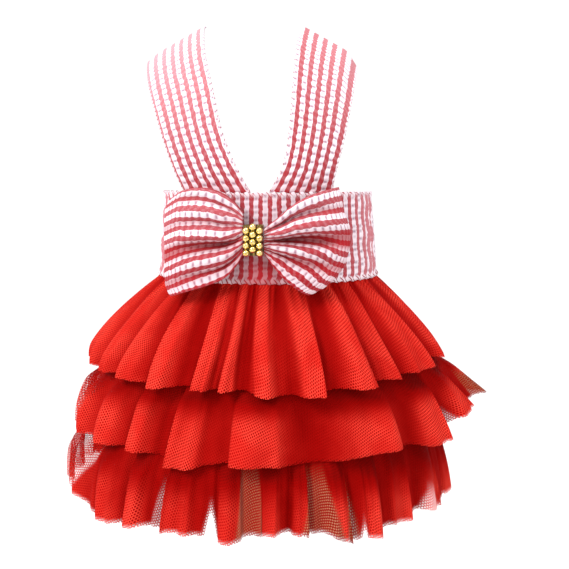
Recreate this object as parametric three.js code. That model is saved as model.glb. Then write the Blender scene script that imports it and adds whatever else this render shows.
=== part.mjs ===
// Dog dress in millimetres: +Z up, the front towards -Y, the origin in the middle of the chest opening.
import * as THREE from "three";

// Chest band: an oval ring, a little wider at the waist than at the top.
const CHEST_HALF_WIDTH = 70;
const CHEST_HALF_DEPTH = 52;
const WAIST_SIDE_SPREAD = 4.5;
const WAIST_FRONT_SPREAD = 4;
const BAND_HEIGHT = 58;
const BAND_THICKNESS = 2;
const BAND_BACK_DIP = 7;
const RUCHE_DEPTH = 0.7;
const RUCHE_COUNT = 44;
const RUCHE_START = 0.25;
const RUCHE_EDGE = 0.12;

// Straps: seersucker strips from the front of the band, folded over the shoulder and down to its back.
const STRAP_INNER_RISE = 111;
const STRAP_OUTER_RISE = 90;
const STRAP_THICKNESS = 1.4;
const STRAP_SEAT = 0.28;
const LEFT_STRAP_LEAN = 10;
const LEFT_STRAP_SHIFT = 13;
const RIGHT_STRAP_LEAN = -9;
const RIGHT_STRAP_SHIFT = 1;

// Skirt: three gathered tiers of net that all hang from the waist, one inside another.
const TULLE_THICKNESS = 1;
const TIER_STEP = 3.6;
const WAIST_STEP = 2;
const TIER_ROOM = 2.8;
const TIER_PLEATS = 28;
const TOP_DROP = 63;
const TOP_FLARE = 40;
const TOP_PLEAT_DEPTH = 14;
const MIDDLE_DROP = 106;
const MIDDLE_FLARE = 55;
const MIDDLE_PLEAT_DEPTH = 15;
const BOTTOM_DROP = 154;
const BOTTOM_FLARE = 63;
const BOTTOM_PLEAT_DEPTH = 17;
// Shares of each tier's flare that it has to the left, right and front,
// and shares of its drop by which its hem lifts at the sides.
const TIERS = [
  {
    name: "tier_top", drop: TOP_DROP, flare: TOP_FLARE, pleat: TOP_PLEAT_DEPTH,
    left: 1, right: 0.875, front: 0.675, liftLeft: 0.08, liftRight: 0.16, bulge: 1.1, turn: 0,
  },
  {
    name: "tier_middle", drop: MIDDLE_DROP, flare: MIDDLE_FLARE, pleat: MIDDLE_PLEAT_DEPTH,
    left: 1, right: 0.855, front: 0.635, liftLeft: 0.02, liftRight: 0.047, bulge: 1.2, turn: 0.4,
  },
  {
    name: "tier_bottom", drop: BOTTOM_DROP, flare: BOTTOM_FLARE, pleat: BOTTOM_PLEAT_DEPTH,
    left: 1, right: 0.7, front: 0.635, liftLeft: 0.065, liftRight: 0.045, bulge: 1.6, turn: 0.75,
  },
];
// Slow waves round a tier: how strong, how many round, and how far the tier's own turn shifts them.
const SWAY = [
  { strength: 0.013, waves: 3, shift: 1 },
  { strength: 0.006, waves: 7, shift: 2 },
];
const HEM_WAVE = [
  { strength: 0.02, waves: 4, shift: 1 },
  { strength: 0.018, waves: 9, shift: 2 },
];
const PLEAT_CHANGE = [
  { strength: 0.16, waves: 5, shift: 1 },
  { strength: 0.12, waves: 11, shift: 3 },
];
const WAIST_PLEAT = 0.15;
const PLEAT_GROWTH = 0.8;
const PLEAT_ROUNDNESS = 0.12;
const ROW_POWER = 1.5;
const TIER_ROWS = 4;
const HEM_SLACK = 1.1;
const FLICK_REACH = 22;
const FLICK_LIFT = 26;
const FLICK_TURN = 0.262;
const FLICK_WIDTH = 0.035;
const FLICK_POWER = 5;

// Bow: two folded loops, each one strip, and a knot that three rows of beads wrap.
const BOW_ASIDE = -3.7;
const BOW_STANDOFF = 7;
const LOOP_THICKNESS = 1.4;
const LOOP_LENGTH = 55;
const LOOP_PUFF = 8.5;
const LOOP_KNOT_PUFF = 2;
const LOOP_BACK_SWEEP = 9;
const LOOP_TIP_LIFT = 6;
const LOOP_FOLD_DEPTH = 3.4;
const LOOP_FOLDS = 2.1;
const LOOP_FOLD_SHIFT = 0.02;
const LOOP_EDGE_PUFF = 0.75;
const LOOP_BELLY = 0.62;
const LOOP_ROUNDING = 1.1;
const LOOP_HALF_HEIGHT = 35;
const KNOT_WIDTH = 12;
const KNOT_HEIGHT = 19;
const KNOT_FRONT = 4;
const KNOT_CORNER = 2.6;
const BEAD_DIAMETER = 4;
const BEAD_COLUMN_PITCH = 4.3;
const BEAD_ROW_PITCH = 4.7;
const BEAD_ROWS = 4;
const BEAD_DROP = 0.6;
const BEAD_SIDES = 10;
const BEAD_RINGS = 6;

const JOIN_GAP = 0.35;

// Strap edges from the band (at 0) to the shoulder fold (at 1), as shares of that strap's reach.
const LEFT_STRAP_EDGES = [
  { at: 0, inner: 0.08, outer: 0.655 },
  { at: 0.15, inner: 0.2, outer: 0.735 },
  { at: 0.35, inner: 0.315, outer: 0.815 },
  { at: 0.6, inner: 0.4, outer: 0.895 },
  { at: 0.8, inner: 0.475, outer: 0.955 },
  { at: 1, inner: 0.52, outer: 1 },
];
const RIGHT_STRAP_EDGES = [
  { at: 0, inner: 0.085, outer: 0.74 },
  { at: 0.15, inner: 0.225, outer: 0.78 },
  { at: 0.35, inner: 0.29, outer: 0.85 },
  { at: 0.6, inner: 0.32, outer: 0.92 },
  { at: 0.8, inner: 0.34, outer: 0.965 },
  { at: 1, inner: 0.38, outer: 1 },
];

// Bow loop edges from the knot (at 0) to the outer fold (at 1), as shares of the loop's half height.
const LEFT_LOOP_EDGES = [
  { at: 0, top: 0.49, bottom: -0.25 },
  { at: 0.1, top: 0.66, bottom: -0.48 },
  { at: 0.25, top: 0.82, bottom: -0.69 },
  { at: 0.5, top: 0.93, bottom: -0.83 },
  { at: 0.8, top: 0.89, bottom: -0.96 },
  { at: 1, top: 0.72, bottom: -1.05 },
];
const RIGHT_LOOP_EDGES = [
  { at: 0, top: 0.2, bottom: -0.24 },
  { at: 0.2, top: 0.41, bottom: -0.45 },
  { at: 0.4, top: 0.64, bottom: -0.64 },
  { at: 0.6, top: 0.79, bottom: -0.78 },
  { at: 0.85, top: 0.9, bottom: -0.93 },
  { at: 1, top: 0.95, bottom: -0.98 },
];
// How far a loop reaches from the knot, bottom edge (at 0) to top edge (at 1), as shares of its length.
const LEFT_LOOP_REACH = [
  { at: 0, reach: 0.86 },
  { at: 0.12, reach: 0.925 },
  { at: 0.5, reach: 0.94 },
  { at: 0.88, reach: 0.93 },
  { at: 1, reach: 0.87 },
];
const RIGHT_LOOP_REACH = [
  { at: 0, reach: 0.52 },
  { at: 0.08, reach: 0.71 },
  { at: 0.26, reach: 0.91 },
  { at: 0.55, reach: 0.985 },
  { at: 0.8, reach: 0.9 },
  { at: 1, reach: 0.845 },
];

const WAIST_HALF_WIDTH = CHEST_HALF_WIDTH + WAIST_SIDE_SPREAD;
const WAIST_HALF_DEPTH = CHEST_HALF_DEPTH + WAIST_FRONT_SPREAD;

const TAU = 2 * Math.PI;
const mix = (a, b, t) => a + (b - a) * t;

const seersucker = new THREE.MeshStandardMaterial({ color: 0xe7a7ac, roughness: 0.9 });
const tulle = new THREE.MeshStandardMaterial({ color: 0xd0201a, roughness: 0.8 });
const knotCloth = new THREE.MeshStandardMaterial({ color: 0xc9777c, roughness: 0.9 });
const gold = new THREE.MeshStandardMaterial({ color: 0xd9b650, roughness: 0.25, metalness: 1 });

// One column of a table at t, along a smooth curve through its rows.
function read(rows, column, t) {
  const last = rows.length - 1;
  let i = 0;
  while (i < last - 1 && t > rows[i + 1].at) i++;
  const slope = (k) => {
    const a = rows[Math.max(0, k - 1)];
    const b = rows[Math.min(last, k + 1)];
    return (b[column] - a[column]) / (b.at - a.at);
  };
  const span = rows[i + 1].at - rows[i].at;
  const s = (t - rows[i].at) / span;
  return (
    rows[i][column] * (1 + 2 * s) * (1 - s) ** 2 +
    slope(i) * span * s * (1 - s) ** 2 +
    rows[i + 1][column] * s * s * (3 - 2 * s) -
    slope(i + 1) * span * s * s * (1 - s)
  );
}

// The sum of a table of waves at u round a tier.
function waves(rows, u, turn) {
  return rows.reduce((sum, row) => sum + row.strength * Math.sin(TAU * (row.waves * u + row.shift * turn)), 0);
}

// A cloth body: the surface point(u, v) made thick to both sides along its normal.
// A round one closes on itself along u.
function cloth(name, material, point, across, along, thickness, round) {
  const columns = round ? across : across + 1;
  const STEP = 1e-3;
  const at = (u, v) => new THREE.Vector3(...point(round ? (u + 1) % 1 : u, v));
  const positions = [];
  for (const side of [0.5, -0.5])
    for (let j = 0; j <= along; j++)
      for (let i = 0; i < columns; i++) {
        const [u, v] = [i / across, j / along];
        const [u0, u1] = round ? [u - STEP, u + STEP] : [Math.max(0, u - STEP), Math.min(1, u + STEP)];
        const [v0, v1] = [Math.max(0, v - STEP), Math.min(1, v + STEP)];
        const du = at(u1, v).sub(at(u0, v));
        const dv = at(u, v1).sub(at(u, v0));
        const normal = du.cross(dv).normalize();
        positions.push(...at(u, v).addScaledVector(normal, side * thickness).toArray());
      }
  const back = columns * (along + 1);
  const id = (i, j, layer) => (i % columns) + j * columns + layer * back;
  const index = [];
  const quad = (a, b, c, d) => index.push(a, b, c, a, c, d);
  for (let i = 0; i < across; i++) {
    for (let j = 0; j < along; j++) {
      quad(id(i, j, 0), id(i + 1, j, 0), id(i + 1, j + 1, 0), id(i, j + 1, 0));
      quad(id(i, j, 1), id(i, j + 1, 1), id(i + 1, j + 1, 1), id(i + 1, j, 1));
    }
    quad(id(i, 0, 1), id(i + 1, 0, 1), id(i + 1, 0, 0), id(i, 0, 0));
    quad(id(i, along, 0), id(i + 1, along, 0), id(i + 1, along, 1), id(i, along, 1));
  }
  if (!round)
    for (let j = 0; j < along; j++) {
      quad(id(0, j, 1), id(0, j, 0), id(0, j + 1, 0), id(0, j + 1, 1));
      quad(id(across, j, 0), id(across, j, 1), id(across, j + 1, 1), id(across, j + 1, 0));
    }
  const geometry = new THREE.BufferGeometry();
  geometry.setAttribute("position", new THREE.Float32BufferAttribute(positions, 3));
  geometry.setIndex(index);
  geometry.computeVertexNormals();
  const mesh = new THREE.Mesh(geometry, material);
  mesh.name = name;
  return mesh;
}

// Height of the band's top edge, which dips towards the back; back is -1 at the front and 1 at the back.
function bandTop(back) {
  return BAND_HEIGHT / 2 - BAND_BACK_DIP * ((1 + back) / 2) ** 2;
}

// Chest band, smooth in front and gathered on elastic from the sides round the back.
// Here u runs round from the front and v from the waist to the top edge.
function bandPoint(u, v) {
  const angle = TAU * u;
  const behind = (1 - Math.cos(angle)) / 2;
  const gathered = Math.min(1, Math.max(0, behind / RUCHE_START - 1));
  const middle = Math.sin(Math.PI * mix(RUCHE_EDGE, 1 - RUCHE_EDGE, v));
  const ruche = RUCHE_DEPTH * gathered * Math.cos(TAU * RUCHE_COUNT * u) * middle;
  const halfWidth = mix(WAIST_HALF_WIDTH, CHEST_HALF_WIDTH, v) + ruche;
  const halfDepth = mix(WAIST_HALF_DEPTH, CHEST_HALF_DEPTH, v) + ruche;
  const height = mix(-BAND_HEIGHT / 2, bandTop(-Math.cos(angle)), v);
  return [halfWidth * Math.sin(angle), -halfDepth * Math.cos(angle), height];
}

// Strap: u from its inner to its outer edge, v from the front of the band over the shoulder to the back.
function strapPoint(side, edges, lean, shift, u, v) {
  const turn = Math.PI * v;
  const height = Math.sin(turn);
  const behind = (1 - Math.cos(turn)) / 2;
  const share = mix(read(edges, "inner", height), read(edges, "outer", height), u);
  const x = (CHEST_HALF_WIDTH + lean) * share + shift * behind * (1 - height);
  const depth = CHEST_HALF_DEPTH * Math.sqrt(Math.max(0, 1 - (x / CHEST_HALF_WIDTH) ** 2 * (1 - height)));
  const y = -depth * Math.cos(turn);
  const rise = mix(STRAP_INNER_RISE, STRAP_OUTER_RISE, u);
  return [side * x, y, bandTop(y / CHEST_HALF_DEPTH) + JOIN_GAP + STRAP_SEAT + rise * height];
}

const FIRST_ROW = (1 / TIER_ROWS) ** ROW_POWER;

// How far out from the waist the valleys of a tier's pleats lie, at a share of the way down it.
function valleyReach(order, east, south, share) {
  const tier = TIERS[order];
  const reach = tier.flare * ((east < 0 ? tier.left : tier.right) * east ** 2 + tier.front * south ** 2);
  const step = mix(WAIST_STEP, TIER_STEP, Math.min(1, share / FIRST_ROW));
  return reach * (1 - Math.max(0, 1 - share) ** tier.bulge) - step * order;
}

// Net tier: u round from the front, v from the waist to the hem.
// Pleats stand outwards, as far as the tier outside leaves room.
function tierPoint(order, u, v) {
  const tier = TIERS[order];
  const share = v ** ROW_POWER;
  const angle = TAU * (u + waves(SWAY, u, tier.turn));
  const [east, south] = [Math.sin(angle), Math.cos(angle)];
  const lift = (east < 0 ? tier.liftLeft : tier.liftRight) * east ** 2;
  const depth = share * tier.drop * (1 + waves(HEM_WAVE, u, tier.turn) * share - lift);
  const valley = valleyReach(order, east, south, share);
  const wave = Math.cos(TAU * (TIER_PLEATS * u + tier.turn));
  const crest = 0.5 + 0.5 * wave + PLEAT_ROUNDNESS * (1 - wave * wave);
  const uneven = 1 + waves(PLEAT_CHANGE, u, tier.turn);
  let pleat = mix(WAIST_PLEAT, tier.pleat, share ** PLEAT_GROWTH) * crest * uneven;
  if (order > 0) {
    const above = depth / (HEM_SLACK * TIERS[order - 1].drop);
    const room = valleyReach(order - 1, east, south, above) - valley - TIER_ROOM;
    pleat = Math.min(pleat, Math.max(0, room) + Math.max(0, above - 1) * tier.drop);
  }
  const flick = order === 1 ? Math.exp(-(((u - FLICK_TURN) / FLICK_WIDTH) ** 2)) * share ** FLICK_POWER : 0;
  const out = valley + pleat + FLICK_REACH * flick;
  return [
    (WAIST_HALF_WIDTH + out) * east,
    -(WAIST_HALF_DEPTH + out) * south,
    -BAND_HEIGHT / 2 - JOIN_GAP - TULLE_THICKNESS / 2 - depth + FLICK_LIFT * flick,
  ];
}

// Bow loop: u from the knot along the front, round the outer fold and back behind,
// v from its bottom to its top edge.
function loopPoint(side, edges, reaches, u, v) {
  const turn = Math.PI * u;
  const away = Math.sin(turn) ** LOOP_ROUNDING;
  const front = Math.cos(turn);
  const x = KNOT_WIDTH / 2 + JOIN_GAP + LOOP_THICKNESS / 4 + LOOP_LENGTH * read(reaches, "reach", v) * away;
  const z = LOOP_HALF_HEIGHT * mix(read(edges, "bottom", away), read(edges, "top", away), v);
  const puff = mix(LOOP_KNOT_PUFF, LOOP_PUFF, Math.sin(Math.PI * Math.min(1, away * LOOP_BELLY)));
  const belly = mix(LOOP_EDGE_PUFF, 1, Math.sin(Math.PI * v));
  const creases = Math.cos(TAU * LOOP_FOLDS * (v - LOOP_FOLD_SHIFT));
  const folds = Math.max(0, front) * away * LOOP_FOLD_DEPTH * creases;
  const sweep = LOOP_BACK_SWEEP * (x / LOOP_LENGTH) ** 2;
  const tip = LOOP_TIP_LIFT * away * (1 - v) ** 2;
  return [side * x, -puff * front * belly - folds + sweep - tip, z];
}

const group = new THREE.Group();
group.name = "dog_dress";

group.add(cloth("chest_band", seersucker, bandPoint, 2 * RUCHE_COUNT, 2, BAND_THICKNESS, true));

const leftStrap = (u, v) => strapPoint(-1, LEFT_STRAP_EDGES, LEFT_STRAP_LEAN, LEFT_STRAP_SHIFT, 1 - u, v);
const rightStrap = (u, v) => strapPoint(1, RIGHT_STRAP_EDGES, RIGHT_STRAP_LEAN, RIGHT_STRAP_SHIFT, u, v);
group.add(
  cloth("strap_left", seersucker, leftStrap, 4, 28, STRAP_THICKNESS, false),
  cloth("strap_right", seersucker, rightStrap, 4, 28, STRAP_THICKNESS, false),
);

TIERS.forEach((tier, order) => {
  const surface = (u, v) => tierPoint(order, u, 1 - v);
  group.add(cloth(tier.name, tulle, surface, 4 * TIER_PLEATS, TIER_ROWS, TULLE_THICKNESS, true));
});

const bow = new THREE.Group();
const bandFront = (CHEST_HALF_DEPTH + WAIST_HALF_DEPTH + BAND_THICKNESS) / 2;
const bandSlope = (WAIST_HALF_DEPTH - CHEST_HALF_DEPTH) / BAND_HEIGHT;
bow.position.set(BOW_ASIDE, -bandFront - BOW_STANDOFF, 0);
const leftLoop = (u, v) => loopPoint(-1, LEFT_LOOP_EDGES, LEFT_LOOP_REACH, 1 - u, v);
const rightLoop = (u, v) => loopPoint(1, RIGHT_LOOP_EDGES, RIGHT_LOOP_REACH, u, v);
bow.add(
  cloth("bow_left", seersucker, leftLoop, 20, 8, LOOP_THICKNESS, false),
  cloth("bow_right", seersucker, rightLoop, 20, 8, LOOP_THICKNESS, false),
);

// Knot: an upright pad with round corners.
const pad = new THREE.Shape();
const knotBack = BOW_STANDOFF - bandSlope * (KNOT_HEIGHT / 2) - JOIN_GAP;
const [kx, kr] = [KNOT_WIDTH / 2, KNOT_CORNER];
pad.absarc(kx - kr, knotBack - kr, kr, 0, Math.PI / 2);
pad.absarc(kr - kx, knotBack - kr, kr, Math.PI / 2, Math.PI);
pad.absarc(kr - kx, kr - KNOT_FRONT, kr, Math.PI, 1.5 * Math.PI);
pad.absarc(kx - kr, kr - KNOT_FRONT, kr, 1.5 * Math.PI, TAU);
const knot = new THREE.Mesh(
  new THREE.ExtrudeGeometry(pad, { depth: KNOT_HEIGHT, bevelEnabled: false, curveSegments: 3 }),
  knotCloth,
);
knot.name = "bow_knot";
knot.position.z = -KNOT_HEIGHT / 2;
bow.add(knot);

// Beads: three upright rows on the front of the knot, the middle row set half a step higher.
for (let column = 0; column < 3; column++)
  for (let row = 0; row < BEAD_ROWS; row++) {
    const bead = new THREE.Mesh(new THREE.SphereGeometry(BEAD_DIAMETER / 2, BEAD_SIDES, BEAD_RINGS), gold);
    bead.name = "bead_" + (column + 1) + "_" + (row + 1);
    const lift = column === 1 ? BEAD_ROW_PITCH / 2 : 0;
    bead.position.set(
      (column - 1) * BEAD_COLUMN_PITCH,
      -KNOT_FRONT - BEAD_DIAMETER / 2 - JOIN_GAP,
      ((BEAD_ROWS - 1) / 2 - row) * BEAD_ROW_PITCH + lift - BEAD_DROP,
    );
    bow.add(bead);
  }
group.add(bow);

export default group;
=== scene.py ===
import math

import bpy
import numpy as np
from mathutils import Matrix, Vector


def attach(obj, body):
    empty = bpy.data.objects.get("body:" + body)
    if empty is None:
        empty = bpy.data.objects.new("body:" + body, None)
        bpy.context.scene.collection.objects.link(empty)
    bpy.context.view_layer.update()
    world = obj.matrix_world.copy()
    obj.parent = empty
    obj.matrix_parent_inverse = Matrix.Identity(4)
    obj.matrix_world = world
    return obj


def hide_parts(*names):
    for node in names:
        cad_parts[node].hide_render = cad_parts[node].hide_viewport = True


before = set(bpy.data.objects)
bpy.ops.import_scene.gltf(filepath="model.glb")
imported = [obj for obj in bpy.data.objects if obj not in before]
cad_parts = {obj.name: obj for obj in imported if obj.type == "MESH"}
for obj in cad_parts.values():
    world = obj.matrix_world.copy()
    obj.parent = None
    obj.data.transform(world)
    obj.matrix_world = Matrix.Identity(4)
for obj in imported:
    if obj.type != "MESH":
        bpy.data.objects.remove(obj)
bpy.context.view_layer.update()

bl_info = {
    "name": "Dog Dress",
    "version": (1, 0, 0),
    "blender": (4, 5, 0),
    "location": "3D View > Sidebar > Dress",
    "description": "Seersucker bodice, bow, beads and net skirt of a small dog dress, each piece on its own solid",
    "category": "Object",
}

MM = 0.001
TURN = 2 * math.pi

# Sizes in millimetres, and counts, that the solids have too.
CHEST_HALF_WIDTH, CHEST_HALF_DEPTH = 70, 52
WAIST_HALF_WIDTH, WAIST_HALF_DEPTH = 74.5, 56
BAND_HEIGHT, BAND_BACK_DIP = 58, 7
RUCHE_DEPTH, RUCHE_COUNT = 0.7, 44
STRAP_INNER_RISE, STRAP_OUTER_RISE, STRAP_THICKNESS = 111, 90, 1.4
TIER_STEP, WAIST_STEP = 3.6, 2
BOW_PLACE = (-3.7, -62.0, 0.0)
LOOP_LENGTH, LOOP_HALF_HEIGHT, LOOP_THICKNESS = 55, 35, 1.4
LOOP_PUFF, LOOP_KNOT_PUFF, LOOP_BACK_SWEEP, LOOP_TIP_LIFT = 8.5, 2, 9, 6
KNOT_WIDTH, KNOT_HEIGHT, KNOT_FRONT = 12, 19, 4
BEAD_COLUMNS, BEAD_COLUMN_PITCH, BEAD_ROWS, BEAD_ROW_PITCH, BEAD_DROP = 3, 4.3, 4, 4.7, 0.6
JOIN_GAP = 0.35

# Sizes in millimetres that are the scene's own or other than the solids': the cloth walls, the puckers, the flicked
# corner, whose place and width are shares of a turn, the knot's back, and the beads, larger so that they touch.
BAND_WALL, STRAP_WALL, LOOP_WALL, KNOT_WALL = 1.6, 1.0, 0.9, 0.8
PUCKER_PITCH, PUCKER_HEIGHT = 4.2, 0.3
FLICK_PLACE, FLICK_WIDTH, FLICK_REACH = 0.256, 0.058, 20
KNOT_BACK, BEAD_DIAMETER = 5.9, 4.5

# Flat sizes of the cotton and the braid, in millimetres.
STRAP_WIDTH, STRAP_LENGTH = 41, 262
LOOP_CLOTH_WIDTH, LOOP_CLOTH_LENGTH = 68, 118
KNOT_CLOTH_LENGTH = 34

# Strap edges and bow edges: (at, share) rows, as in the solids. back moves a strap outwards behind, corner lowers the
# outer corner of its top, both in millimetres. fade is added to the paleness that is painted on its top as light, phase
# is where its stripes start, in repeats, and cloth is how many millimetres of striped cloth lie across it, fitted to
# the photograph's stripes and so other than the flat strap width above.
STRAPS = {
    "strap_left": dict(
        side=-1, lean=10, back=11.5, corner=2, light_paleness=0.25, phase=0.36, cloth=41.5,
        inner=((0, 0.08), (0.15, 0.2), (0.35, 0.315), (0.6, 0.4), (0.8, 0.475), (1, 0.52)),
        outer=((0, 0.655), (0.15, 0.735), (0.35, 0.815), (0.6, 0.895), (0.8, 0.955), (1, 1)),
    ),
    "strap_right": dict(
        side=1, lean=-9, back=0, corner=7, light_paleness=-0.15, phase=0.3, cloth=38,
        inner=((0, 0.085), (0.15, 0.225), (0.35, 0.29), (0.6, 0.32), (0.8, 0.34), (1, 0.38)),
        outer=((0, 0.74), (0.15, 0.78), (0.35, 0.85), (0.6, 0.92), (0.8, 0.965), (1, 1)),
    ),
}
LOOPS = {
    "bow_left": dict(
        side=-1,
        top=((0, 0.49), (0.1, 0.66), (0.25, 0.82), (0.5, 0.93), (0.8, 0.89), (1, 0.72)),
        bottom=((0, -0.25), (0.1, -0.48), (0.25, -0.69), (0.5, -0.83), (0.8, -0.96), (1, -1.05)),
        reach=((0, 0.86), (0.12, 0.925), (0.5, 0.94), (0.88, 0.93), (1, 0.87)),
        # Creases as (at the knot, at the end, depth, width) across the loop, a ridge where the depth is above 0.
        creases=(
            (0.40, 0.42, -9, 0.06), (0.50, 0.54, 3.5, 0.07), (0.64, 0.68, -3.5, 0.04),
            (0.76, 0.80, 2.5, 0.07), (0.86, 0.92, -3.0, 0.04), (0.24, 0.26, 4.0, 0.07), (0.14, 0.12, -3.5, 0.04),
        ),
    ),
    "bow_right": dict(
        side=1,
        top=((0, 0.2), (0.2, 0.41), (0.4, 0.64), (0.6, 0.79), (0.85, 0.9), (1, 0.95)),
        bottom=((0, -0.24), (0.2, -0.45), (0.4, -0.64), (0.6, -0.78), (0.85, -0.93), (1, -0.98)),
        reach=((0, 0.52), (0.08, 0.71), (0.26, 0.91), (0.55, 0.985), (0.8, 0.9), (1, 0.845)),
        creases=(
            (0.70, 0.66, 6.5, 0.07), (0.52, 0.50, -10, 0.07), (0.36, 0.38, 4.0, 0.06),
            (0.86, 0.80, -4.0, 0.04), (0.22, 0.24, -4.5, 0.05), (0.96, 0.93, 2.5, 0.05), (0.08, 0.10, 3.0, 0.05),
        ),
    ),
}

# Net tiers, outermost first, in millimetres and shares. left, right and front, which is the back's too, are shares
# of the flare. lift_left and lift_right are the shares of the drop that are missing at the sides. bulge and puff
# round the profile, and turn shifts the waves of the hem. pleat is how far crests stand out past the flare at the
# hem, and depth the share of it that valleys fall back by. hem is the length that the net's pattern is spread over.
# cut is the flat width. It is worked back from the drawn net's area and is no measure of a real cut: the
# hem as drawn is longer, about 1000 to 1020.
# A fold row is where a fold stands, in thousandths of a turn from the front, how deep it is beside the others, how
# far it leans over, 1 for 1.7 mm, and how broad its face is, 0 for as broad as the valley.
# A thin row is where, in the same thousandths, how far to each side at its top and at the hem, from what share of
# the drop, and what is left. Above 0.7 the holes there are painted in the window colour.
TIERS = (
    dict(
        name="tier_top", drop=63, flare=40, left=1, right=0.875, front=0.675, lift_left=0.08, lift_right=0.16,
        bulge=1.15, puff=0.4, turn=0, pleat=15, depth=0.78, hem=980, cut=690,
        folds=(
            (-482, 1.0, 3, 0.2), (-441, 0.6, -3, 0), (-399, 1.1, 4, 0.3), (-362, 0.8, -2, 0), (-325, 1.0, 3, 0.3),
            (-275, 0.75, -3, 0.1), (-216, 0.95, -3, 1.0), (-160, 0.95, -5, 0.5), (-121, 0.95, -6, 0.4),
            (-87, 1.1, -5, 0.4), (-45, 1.15, -2, 0.2), (-22, 0.8, -1, 0), (4, 1.05, 0, 0.1), (44, 1.05, 3, 0.7),
            (92, 1.15, 6, 0.6), (126, 0.6, 6, 0), (158, 0.95, 6, 0.7), (221, 0.95, 3, 1.0),
            (283, 0.9, -3, 0.3), (330, 0.8, 4, 0), (366, 1.1, -2, 0.2), (405, 0.7, 3, 0), (446, 1.0, -3, 0.3),
        ),
        thin=(),
    ),
    dict(
        name="tier_middle", drop=106, flare=55, left=1, right=0.855, front=0.635, lift_left=0.02, lift_right=0.047,
        bulge=1.2, puff=0.4, turn=0.4, pleat=16, depth=0.66, hem=960, cut=740,
        folds=(
            (-474, 0.9, 3, 0.2), (-430, 1.0, -3, 0), (-391, 0.8, 4, 0.3), (-350, 1.0, -3, 0), (-309, 0.9, 3, 0.2),
            (-270, 0.8, -2, 0), (-226, 1.0, -2, 0.3), (-184, 1.0, -4, 0.3), (-140, 1.1, -5, 0.3), (-104, 1.0, -5, 0.1),
            (-58, 1.0, -4, 0.2), (4, 1.35, -4, 0.7), (100, 1.25, 5, 0.8),
            (172, 1.0, 4, 0.4), (214, 0.8, 3, 0.1), (262, 1.0, 0, 0.4), (303, 0.9, 3, 0.2), (345, 1.0, -3, 0),
            (384, 0.8, 3, 0.3), (420, 1.0, -2, 0), (462, 0.9, 3, 0.2),
        ),
        thin=((-232, 66, 30, 0.68, 0.3), (192, 7, 13, 0.9, 0.5), (256, 12, 16, 0.78, 0.75)),
    ),
    dict(
        name="tier_bottom", drop=154, flare=63, left=1, right=0.7, front=0.635, lift_left=0.065, lift_right=0.045,
        bulge=1.6, puff=0.2, turn=0.75, pleat=17, depth=0.4, hem=1000, cut=800,
        folds=(
            (-478, 0.9, 3, 0.2), (-436, 1.0, -3, 0), (-394, 0.9, 3, 0.3), (-352, 1.0, -3, 0), (-313, 0.8, 3, 0.2),
            (-275, 0.9, -2, 0), (-232, 1.0, -2, 0.3), (-184, 1.0, -3, 0.3), (-140, 1.0, -4, 0.3), (-103, 1.0, -3, 0.1),
            (-60, 1.0, -2, 0.6), (-25, 0.9, 1, 0), (15, 1.0, -1, 0.5), (38, 0.6, 2, 0), (68, 0.9, 3, 0),
            (97, 1.0, 3, 0.4), (133, 0.8, 4, 0.2), (178, 1.0, 3, 0.3), (218, 1.0, 2, 0.2), (262, 0.9, 3, 0.3),
            (301, 1.0, -3, 0), (342, 0.9, 3, 0.3), (385, 1.0, -3, 0), (428, 0.9, 3, 0.2), (468, 0.8, -2, 0),
        ),
        thin=(
            (-232, 88, 52, 0.6, 0.3), (-78, 4, 9, 0.82, 0.5), (-8, 7, 14, 0.74, 0.9), (53, 7, 15, 0.76, 0.9),
            (77, 3, 8, 0.8, 0.75), (178, 10, 16, 0.9, 0.45), (-39, 1, 4, 0.88, 0), (87, 0, 2, 0.93, 0),
        ),
    ),
)
HEM_WAVE = ((0.02, 4, 1), (0.018, 9, 2))


def linear(code):
    """Linear colour with alpha 1 of an sRGB hex code."""
    parts = [int(code[i : i + 2], 16) / 255 for i in (0, 2, 4)]
    return [p / 12.92 if p <= 0.04045 else ((p + 0.055) / 1.055) ** 2.4 for p in parts] + [1.0]


def mix(a, b, t):
    """Straight line from a at t = 0 to b at t = 1."""
    return a + (b - a) * t


def step(low, high, x):
    """Smooth step: 0 up to low, 1 from high on, and 3t^2 - 2t^3 between."""
    t = np.clip((x - low) / (high - low), 0, 1)
    return t * t * (3 - 2 * t)


def through(rows, t):
    """Cubic through rows of (at, value), each row's slope being that between its two neighbours."""
    at, value = np.array(rows, float).T
    last = len(at) - 1
    k = np.arange(last + 1)
    before, after = np.maximum(k - 1, 0), np.minimum(k + 1, last)
    slope = (value[after] - value[before]) / (at[after] - at[before])
    i = np.searchsorted(at[1:-1], t, side="left")
    span = at[i + 1] - at[i]
    s = (t - at[i]) / span
    return (
        value[i] * (1 + 2 * s) * (1 - s) ** 2 + slope[i] * span * s * (1 - s) ** 2
        + value[i + 1] * s * s * (3 - 2 * s) - slope[i + 1] * span * s * s * (1 - s)
    )


def waves(rows, u, turn):
    """Sum of sines round a turn u: rows of (strength, waves round, shift)."""
    return sum(strength * np.sin(TURN * (count * u + shift * turn)) for strength, count, shift in rows)


def scatter(n, seed):
    """One fixed number from 0 to 1 for each whole number n: the fraction of a large sine."""
    return np.modf(np.abs(np.sin(n * 12.9898 + seed * 78.233) * 43758.5453))[0]


def grid(columns, rows):
    """Even parameters u along the columns and v along the rows, both from 0 to 1."""
    return np.meshgrid(np.linspace(0, 1, columns + 1), np.linspace(0, 1, rows + 1))


def normals(points, round_):
    """Unit cross product of the steps along the columns and along the rows."""
    if round_:
        ring = points[:, :-1]
        du = np.roll(ring, -1, 1) - np.roll(ring, 1, 1)
        du = np.concatenate([du, du[:, :1]], 1)
    else:
        du = np.gradient(points, axis=1)
    n = np.cross(du, np.gradient(points, axis=0))
    return n / np.maximum(np.linalg.norm(n, axis=2, keepdims=True), 1e-9)


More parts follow.
